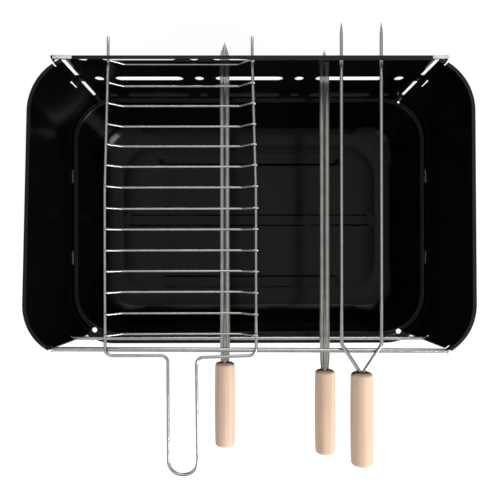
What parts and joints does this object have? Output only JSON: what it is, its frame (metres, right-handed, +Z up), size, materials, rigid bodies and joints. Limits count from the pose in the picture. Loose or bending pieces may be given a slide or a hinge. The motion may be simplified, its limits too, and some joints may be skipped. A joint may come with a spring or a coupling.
{
  "type": "hibachi grill",
  "caption": "Portable charcoal grill: enamelled fire tub on folding wire legs, slotted windshield, wire grid with a loop handle, flat skewers and a turning fork.",
  "frame": {"origin": "middle of the bounding box in plan, on the ground under the feet", "axes": "+Z up, +Y to the rear panel, +X to the right of someone who stands at the handles"},
  "size_m": [0.451, 0.4507, 0.2815],
  "materials": {
    "black_enamel": "glossy vitreous enamel on pressed steel",
    "bright_wire": "bright drawn and zinc-plated wire",
    "skewer_steel": "rolled bright strip",
    "beech": "turned, sanded and unvarnished"
  },
  "bodies": {
    "root": {"fire_tub": "black_enamel", "rear_panel": "black_enamel", "left_side_panel": "black_enamel", "right_side_panel": "black_enamel", "lower_front_rail": "bright_wire", "upper_front_rail": "bright_wire", "left_front_leg_clip": "bright_wire", "left_rear_leg_clip": "bright_wire", "right_front_leg_clip": "bright_wire", "right_rear_leg_clip": "bright_wire"},
    "grid": {"grid_frame": "bright_wire", "grid_wire_01": "bright_wire", "grid_wire_02": "bright_wire", "grid_wire_03": "bright_wire", "grid_wire_04": "bright_wire", "grid_wire_05": "bright_wire", "grid_wire_06": "bright_wire", "grid_wire_07": "bright_wire", "grid_wire_08": "bright_wire", "grid_wire_09": "bright_wire", "grid_wire_10": "bright_wire", "grid_wire_11": "bright_wire", "grid_wire_12": "bright_wire", "grid_wire_13": "bright_wire", "grid_wire_14": "bright_wire"},
    "left_skewer": {"left_skewer_blade": "skewer_steel", "left_skewer_handle": "beech"},
    "right_skewer": {"right_skewer_blade": "skewer_steel", "right_skewer_handle": "beech"},
    "fork": {"fork_wire": "bright_wire", "fork_handle": "beech"},
    "left_leg": {"left_leg": "bright_wire"},
    "right_leg": {"right_leg": "bright_wire"}
  },
  "joints": [
    {"name": "grid_lift", "type": "hinge", "parent": "root", "child": "grid", "pos_m": [0, 0.1843, 0.27005], "axis": [-1, 0, 0], "range_deg": [0, 20]},
    {"name": "left_skewer_slide", "type": "slide", "parent": "root", "child": "left_skewer", "axis": [0, -1, 0], "range_m": [0, 0.32]},
    {"name": "right_skewer_slide", "type": "slide", "parent": "root", "child": "right_skewer", "axis": [0, -1, 0], "range_m": [0, 0.31]},
    {"name": "fork_slide", "type": "slide", "parent": "root", "child": "fork", "axis": [0, -1, 0], "range_m": [0, 0.31]},
    {"name": "left_leg_fold", "type": "hinge", "parent": "root", "child": "left_leg", "pos_m": [-0.15, 0.0378, 0.138], "axis": [0, -1, 0], "range_deg": [0, 70]},
    {"name": "right_leg_fold", "type": "hinge", "parent": "root", "child": "right_leg", "pos_m": [0.15, 0.0378, 0.138], "axis": [0, 1, 0], "range_deg": [0, 70]}
  ]
}
